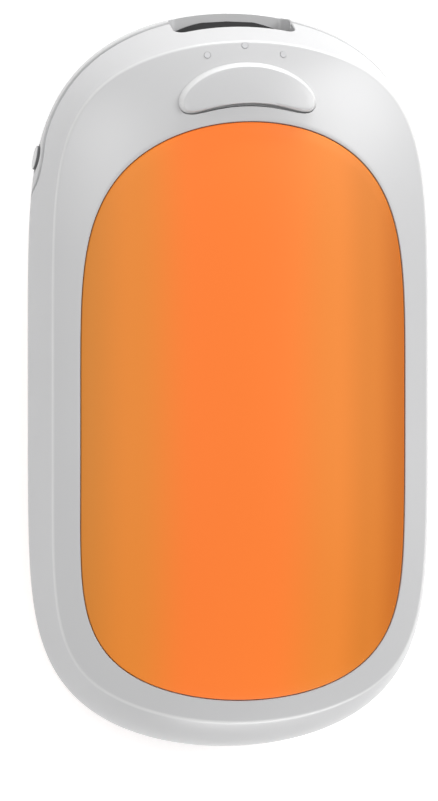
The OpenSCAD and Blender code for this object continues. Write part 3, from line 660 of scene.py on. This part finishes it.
def moulded(name, dark, light, roughness, scale=2600, metallic=0.0):
    """Finish with a fine grain, a slow change of tone and a matching change of roughness."""
    material, nodes, links, shader = new_material(name)
    mask, _ = add_grain(material, scale, roughness - 0.03, roughness + 0.03,
                        strength=0.12, distance=0.00004)
    tone = nodes.new("ShaderNodeValToRGB")
    for stop, position, colour in zip(tone.color_ramp.elements, (0.35, 0.65), (dark, light)):
        stop.position = position
        stop.color = (*colour, 1)
    links.new(mask, tone.inputs["Fac"])
    links.new(tone.outputs["Color"], shader.inputs["Base Color"])
    shader.inputs["Metallic"].default_value = metallic
    return material


def paint_edge_highlight(material, light):
    """Paints a highlight: lets the tone rise to a light one along the moulded edges, as far as each
    point's share in the mesh attribute.
    """
    nodes, links = material.node_tree.nodes, material.node_tree.links
    shader = nodes["Principled BSDF"]
    edge = nodes.new("ShaderNodeAttribute")
    edge.attribute_name = "painted_highlight"
    mix = nodes.new("ShaderNodeMix")
    mix.data_type = "RGBA"
    mix.inputs["B"].default_value = (*light, 1)
    links.new(edge.outputs["Fac"], mix.inputs["Factor"])
    links.new(shader.inputs["Base Color"].links[0].from_socket, mix.inputs["A"])
    links.new(mix.outputs["Result"], shader.inputs["Base Color"])


# Painted shade and sheen on the orange, from the left long edge to the right one: brightest along
# the crown, darker towards both edges and more so on the right
ORANGE_LEFT, ORANGE_RIGHT = (0.67, 0.23, 0.03), (0.52, 0.13, 0.005)
ORANGE_BETWEEN = ((0.15, (0.83, 0.25, 0.03)), (0.34, (1.0, 0.215, 0.03)),
                  (0.56, (0.99, 0.215, 0.028)), (0.76, (0.84, 0.235, 0.026)),
                  (0.88, (0.69, 0.2, 0.018)))
ORANGE_REACH = 0.0245


def plate_finish():
    """Satin orange coating with painted shade and sheen: brightest along the crown, darker and
    yellower towards the long edges, most on the right.
    """
    material, nodes, links, shader = new_material("orange_coating_painted_sheen")
    _, spot = add_grain(material, 4200, 0.42, 0.5, strength=0.06, distance=0.00003)
    split = nodes.new("ShaderNodeSeparateXYZ")
    links.new(spot, split.inputs["Vector"])
    across = nodes.new("ShaderNodeMapRange")
    across.inputs["From Min"].default_value = -ORANGE_REACH
    across.inputs["From Max"].default_value = ORANGE_REACH
    links.new(split.outputs["X"], across.inputs["Value"])
    tone = nodes.new("ShaderNodeValToRGB")
    ramp = tone.color_ramp
    ramp.interpolation = "EASE"
    ramp.elements[0].color = (*ORANGE_LEFT, 1)
    ramp.elements[1].color = (*ORANGE_RIGHT, 1)
    for position, colour in ORANGE_BETWEEN:
        ramp.elements.new(position).color = (*colour, 1)
    links.new(across.outputs["Result"], tone.inputs["Fac"])
    links.new(tone.outputs["Color"], shader.inputs["Base Color"])
    shader.inputs["Specular IOR Level"].default_value = 0.25
    return material


def dress(piece, material):
    piece.data.materials.clear()
    piece.data.materials.append(material)


shell_finish = moulded("shell_satin_plastic", (0.52, 0.52, 0.525), (0.54, 0.54, 0.545), 0.31)
# The button's plastic is the shell's made a little darker: painted shade on the raised cap
button_finish = moulded("button_satin_plastic", (0.51, 0.51, 0.515), (0.53, 0.53, 0.535), 0.3, 3200)
lens_finish = moulded("lens_frosted_plastic", (0.5, 0.5, 0.51), (0.54, 0.54, 0.55), 0.3, 1500)
dark_finish = moulded("dark_moulded_plastic", (0.012, 0.012, 0.013), (0.02, 0.02, 0.021), 0.5)
ring_shade_finish = moulded("key_ring_painted_shade", (0.13, 0.13, 0.134), (0.16, 0.16, 0.164), 0.6)
steel_finish = moulded("socket_sheet_steel", (0.5, 0.5, 0.51), (0.6, 0.6, 0.61), 0.32, metallic=1.0)
nickel_finish = moulded("nickel_strip", (0.55, 0.53, 0.49), (0.62, 0.6, 0.56), 0.35, metallic=1.0)
screw_finish = moulded("plated_screw", (0.55, 0.55, 0.56), (0.65, 0.65, 0.66), 0.28, metallic=1.0)
board_finish = moulded("solder_mask", (0.01, 0.07, 0.03), (0.015, 0.09, 0.04), 0.35, 900)
film_finish = moulded("amber_film", (0.42, 0.16, 0.03), (0.5, 0.2, 0.04), 0.3, 700)
wire_finish = moulded("silicone_lead", (0.3, 0.02, 0.015), (0.36, 0.03, 0.02), 0.6)
sleeve_finish = moulded("cell_sleeve", (0.02, 0.09, 0.2), (0.03, 0.11, 0.24), 0.3, 600)
ferrite_finish = moulded("choke_ferrite", (0.03, 0.03, 0.032), (0.05, 0.05, 0.052), 0.6, 1200)
ceramic_finish = moulded("capacitor_ceramic", (0.3, 0.18, 0.08), (0.36, 0.23, 0.11), 0.5, 1200)
white_finish = moulded("plunger_plastic", (0.7, 0.7, 0.69), (0.76, 0.76, 0.75), 0.4)
led_finish = moulded("led_body", (0.75, 0.73, 0.55), (0.8, 0.78, 0.6), 0.3)
orange_finish = plate_finish()
# Painted highlights: the shell's edge bow and the button's bevel are painted lighter, as where they
# catch the light
paint_edge_highlight(shell_finish, (0.64, 0.64, 0.64))
paint_edge_highlight(button_finish, (0.68, 0.68, 0.68))

for piece, finish, body, node_name, slot_name in (
        (front_shell, shell_finish, "body", "front_shell", "shell_plastic"),
        (rear_shell, shell_finish, "body", "rear_shell", "shell_plastic"),
        (front_plate, orange_finish, "body", "front_heat_plate", "plate_coating"),
        (rear_plate, orange_finish, "body", "rear_heat_plate", "plate_coating"),
        (crescent_cap, button_finish, "heat_key", "heat_button", "button_plastic"),
        (side_cap, button_finish, "side_key", "side_button", "button_plastic")):
    dress(piece, finish)
    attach(piece, body)
    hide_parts(node_name)

# Faces of the ring round the cap take a dark finish: painted shade where the gap round the key lies
# in shadow
side_cap.data.materials.append(ring_shade_finish)
for face in side_cap.data.polygons:
    reach = face.center - ring_spot
    beside = (reach - key_out * reach.dot(key_out)).length
    if reach.dot(ring_out) < 0 and beside > KEY_SHADE_R * MM:
        face.material_index = 1

CAD_FINISHES = {
    "front_heater_film": film_finish, "rear_heater_film": film_finish,
    "heater_leads": wire_finish, "thermistor": dark_finish,
    "cell_left": sleeve_finish, "cell_right": sleeve_finish,
    "cell_tabs": nickel_finish, "battery_cradle": dark_finish,
    "main_board": board_finish, "button_board": board_finish,
    "board_link": dark_finish, "control_chip": dark_finish,
    "power_inductor": ferrite_finish, "board_capacitors": ceramic_finish,
    "usb_out_shell": steel_finish, "usb_out_tongue": dark_finish, "bay_liner": dark_finish,
    "charge_socket_shell": steel_finish, "charge_socket_tongue": dark_finish,
    "heat_switch": dark_finish, "heat_switch_plunger": white_finish,
    "side_switch": dark_finish, "side_switch_plunger": white_finish,
    "indicator_lenses": lens_finish, "indicator_leds": led_finish,
    "case_screws": screw_finish, "board_screws": screw_finish,
}
for node_name, finish in CAD_FINISHES.items():
    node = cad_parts[node_name]
    for slot in node.material_slots:
        slot.material = finish
    if not node.material_slots:
        node.data.materials.append(finish)


# Studio

scene = bpy.context.scene
scene.view_settings.view_transform = "Standard"
LAMP_AIM = Vector((0, 0, 0.01))


def white_air(tree, socket, plain, seen):
    """Feeds a strength that is plain for light, and seen for the camera and in gloss and glass."""
    path = tree.nodes.new("ShaderNodeLightPath")
    either = tree.nodes.new("ShaderNodeMath")
    either.operation = "MAXIMUM"
    any_of = tree.nodes.new("ShaderNodeMath")
    any_of.operation = "MAXIMUM"
    strength = tree.nodes.new("ShaderNodeMapRange")
    strength.inputs["To Min"].default_value = plain
    strength.inputs["To Max"].default_value = seen
    tree.links.new(path.outputs["Is Camera Ray"], either.inputs[0])
    tree.links.new(path.outputs["Is Glossy Ray"], either.inputs[1])
    tree.links.new(either.outputs["Value"], any_of.inputs[0])
    tree.links.new(path.outputs["Is Transmission Ray"], any_of.inputs[1])
    tree.links.new(any_of.outputs["Value"], strength.inputs["Value"])
    tree.links.new(strength.outputs["Result"], socket)


def floor():
    """Plain white floor that glows for the camera and in gloss only."""
    bpy.ops.object.select_all(action="DESELECT")
    bpy.ops.mesh.primitive_plane_add(size=6, location=(0, 0, 0))
    plane = bpy.context.object
    plane.name = "studio_floor"
    material = bpy.data.materials.new("studio_white")
    material.use_nodes = True
    nodes, links = material.node_tree.nodes, material.node_tree.links
    nodes.clear()
    output = nodes.new("ShaderNodeOutputMaterial")
    diffuse = nodes.new("ShaderNodeBsdfDiffuse")
    diffuse.inputs["Color"].default_value = (0.9, 0.9, 0.9, 1)
    glow = nodes.new("ShaderNodeEmission")
    white_air(material.node_tree, glow.inputs["Strength"], plain=0.0, seen=0.5)
    both = nodes.new("ShaderNodeAddShader")
    links.new(diffuse.outputs["BSDF"], both.inputs[0])
    links.new(glow.outputs["Emission"], both.inputs[1])
    links.new(both.outputs["Shader"], output.inputs["Surface"])
    dress(plane, material)


def surroundings():
    """Even white air all round the warmer."""
    world = bpy.data.worlds.new("studio_air")
    scene.world = world
    world.use_nodes = True
    air = world.node_tree.nodes["Background"]
    air.inputs["Color"].default_value = (1, 1, 1, 1)
    white_air(world.node_tree, air.inputs["Strength"], plain=0.46, seen=1.0)


def softbox(name, location, width, height, power):
    """Soft light that faces the warmer, in metres and watts."""
    data = bpy.data.lights.new(name, "AREA")
    data.shape = "RECTANGLE"
    data.size = width
    data.size_y = height
    data.energy = power
    lamp = bpy.data.objects.new(name, data)
    scene.collection.objects.link(lamp)
    lamp.location = location
    towards = LAMP_AIM - Vector(location)
    lamp.rotation_euler = towards.to_track_quat("-Z", "Y").to_euler()


floor()
surroundings()
softbox("top_box", (0.3, 0.8, 0.035), 0.6, 0.05, 5.0)
softbox("right_box", (0.59, 0.25, 0.63), 0.37, 0.38, 3.65)
softbox("bottom_box", (0.3, -0.82, 0.03), 0.6, 0.04, 2.7)
softbox("left_box", (-0.85, 0, 0.12), 0.9, 0.12, 1.8)
softbox("front_box", (-0.33, 0.16, 0.83), 0.25, 0.25, 1.55)


# Camera

# The photograph's scale and height in pixels, and how far its middle lies from the warmer's
PIXELS_PER_MM, PHOTO_HEIGHT = 6.897, 801
AIM_LEFT, AIM_DOWN = 1.36, 3.03
CAMERA_DISTANCE, SENSOR = 3, 36
TURN_LEFT, TURN_UP = math.radians(15), math.radians(3)


def photo_camera():
    """Camera to the left of the front and towards the top end, with the photograph's frame."""
    right = Vector((math.cos(TURN_LEFT), 0, math.sin(TURN_LEFT)))
    back = Vector((-math.sin(TURN_LEFT) * math.cos(TURN_UP), math.sin(TURN_UP),
                   math.cos(TURN_LEFT) * math.cos(TURN_UP)))
    up = back.cross(right)
    aim = Vector((0, 0, MID_Z * MM)) - right * AIM_LEFT * MM - up * AIM_DOWN * MM
    data = bpy.data.cameras.new("photo_camera")
    data.sensor_fit = "AUTO"
    data.sensor_width = SENSOR
    data.lens = SENSOR * CAMERA_DISTANCE / (PHOTO_HEIGHT / PIXELS_PER_MM * MM)
    data.clip_end = 20
    camera = bpy.data.objects.new("photo_camera", data)
    scene.collection.objects.link(camera)
    turned = Matrix((right, up, back)).transposed().to_4x4()
    camera.matrix_world = Matrix.Translation(aim + back * CAMERA_DISTANCE) @ turned
    return camera


scene.camera = photo_camera()
